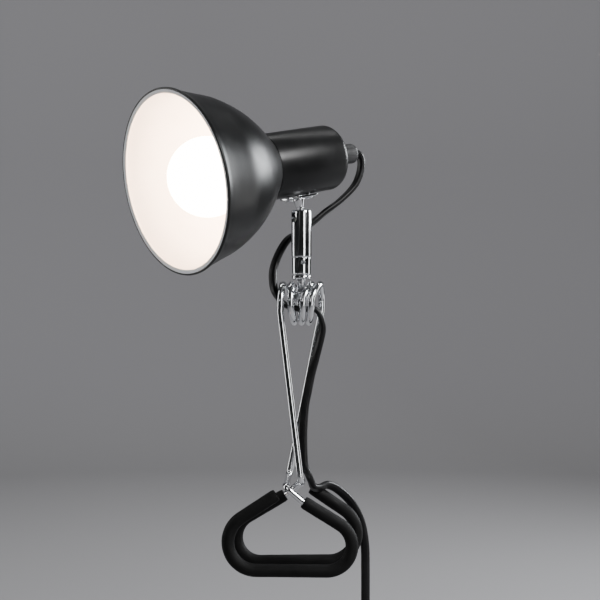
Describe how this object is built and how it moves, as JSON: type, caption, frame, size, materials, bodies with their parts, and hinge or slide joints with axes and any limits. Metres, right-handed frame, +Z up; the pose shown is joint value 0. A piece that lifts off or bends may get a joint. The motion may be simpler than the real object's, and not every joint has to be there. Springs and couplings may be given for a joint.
{
  "type": "clip on reading lamp",
  "caption": "Clip-on reading lamp: bell shade and lampholder on a ball joint above a sprung wire clamp whose legs cross into two rubber-sleeved loops, with mains cord.",
  "frame": {"origin": "middle of the gap between the bottom bars of the two jaws, where a board's edge is gripped", "axes": "+Z up along the stem, +X to the right seen from the front jaw, +Y from the front jaw to the rear jaw"},
  "size_m": [0.1796, 0.1417, 0.4594],
  "materials": {
    "chrome": "bright chrome plate",
    "zinc_steel": "bright zinc",
    "black_lacquer": "satin black lacquer outside; the shade's inside and turned-in lip are white",
    "rubber": "matte black rubber tube",
    "cord_pvc": "black flat flexible cord, soft sheen",
    "black_plastic": "fine matte moulding",
    "brass": "plain",
    "plated_brass": "nickel plate",
    "pale_plastic": "smooth moulding",
    "opal_glass": "opal, lit warm white"
  },
  "bodies": {
    "clamp": {"clamp_coil": "chrome", "swivel_bolt": "zinc_steel", "bolt_washer": "chrome", "collar": "chrome", "stem_base": "chrome", "grub_screw": "zinc_steel", "cord_loop": "cord_pvc", "cord_drop": "cord_pvc", "switch_rear_shell": "black_plastic", "switch_front_shell": "black_plastic", "switch_screw_top": "zinc_steel", "switch_screw_bottom": "zinc_steel", "fixed_contact": "brass", "moving_contact": "brass", "cord_tail": "cord_pvc", "cord_coil": "cord_pvc", "cord_tie": "rubber", "plug_lead": "cord_pvc", "plug_body": "black_plastic", "plug_pin_upper": "plated_brass", "plug_pin_lower": "plated_brass"},
    "front_jaw": {"front_jaw_wire": "chrome", "front_jaw_sleeve": "rubber"},
    "rear_jaw": {"rear_jaw_wire": "chrome", "rear_jaw_sleeve": "rubber"},
    "stem_top": {"stem_top": "chrome", "ball_seat": "pale_plastic", "seat_spring": "zinc_steel"},
    "ball": {"ball_stud": "chrome", "stud_nut": "zinc_steel", "stud_washer": "zinc_steel"},
    "head": {"mounting_plate": "chrome", "plate_screw_front": "zinc_steel", "plate_screw_rear": "zinc_steel", "rear_housing": "black_lacquer", "shade": "black_lacquer", "shade_ring": "pale_plastic", "lampholder_body": "pale_plastic", "lampholder_shell": "brass", "centre_contact": "brass", "bulb_globe": "opal_glass", "bulb_collar": "pale_plastic", "bulb_cap": "plated_brass", "bulb_insulator": "black_plastic", "bulb_tip": "zinc_steel", "live_lead": "cord_pvc", "neutral_lead": "cord_pvc", "cord_gland": "black_plastic", "gland_nut": "zinc_steel", "gland_screw": "pale_plastic"},
    "switch_rocker": {"switch_rocker": "black_plastic"}
  },
  "joints": [
    {"name": "stem_swivel", "type": "hinge", "parent": "clamp", "child": "stem_top", "pos_m": [0, 0, 0.1818], "axis": [0, 0, 1], "range_deg": [-170, 170], "deforming": ["cord_loop"]},
    {"name": "head_tilt", "type": "hinge", "parent": "stem_top", "child": "ball", "pos_m": [0, 0, 0.2067], "axis": [0.6198, -0.7848, 0], "range_deg": [-34, 38], "deforming": ["cord_loop"]},
    {"name": "head_spin", "type": "hinge", "parent": "ball", "child": "head", "pos_m": [0, 0, 0.2067], "axis": [-0.1524, -0.1204, 0.981], "range_deg": [-170, 170], "deforming": ["cord_loop"]},
    {"name": "front_jaw_open", "type": "hinge", "parent": "clamp", "child": "front_jaw", "pos_m": [0, 0, 0.1549], "axis": [-1, 0, 0], "range_deg": [-3.4, 7], "stiffness_Nm_per_rad": 0.8, "deforming": ["clamp_coil", "cord_drop"]},
    {"name": "rear_jaw_open", "type": "hinge", "parent": "clamp", "child": "rear_jaw", "pos_m": [0, 0, 0.1549], "axis": [1, 0, 0], "range_deg": [-3.4, 7], "stiffness_Nm_per_rad": 0.8, "deforming": ["clamp_coil", "cord_drop"]},
    {"name": "rocker_tip", "type": "hinge", "parent": "clamp", "child": "switch_rocker", "pos_m": [0.039, 0.0208, -0.062], "axis": [1, 0, 0], "range_deg": [0, 16]}
  ],
  "couplings": [
    {"joint": "rear_jaw_open", "follows": "front_jaw_open", "ratio": 1}
  ]
}
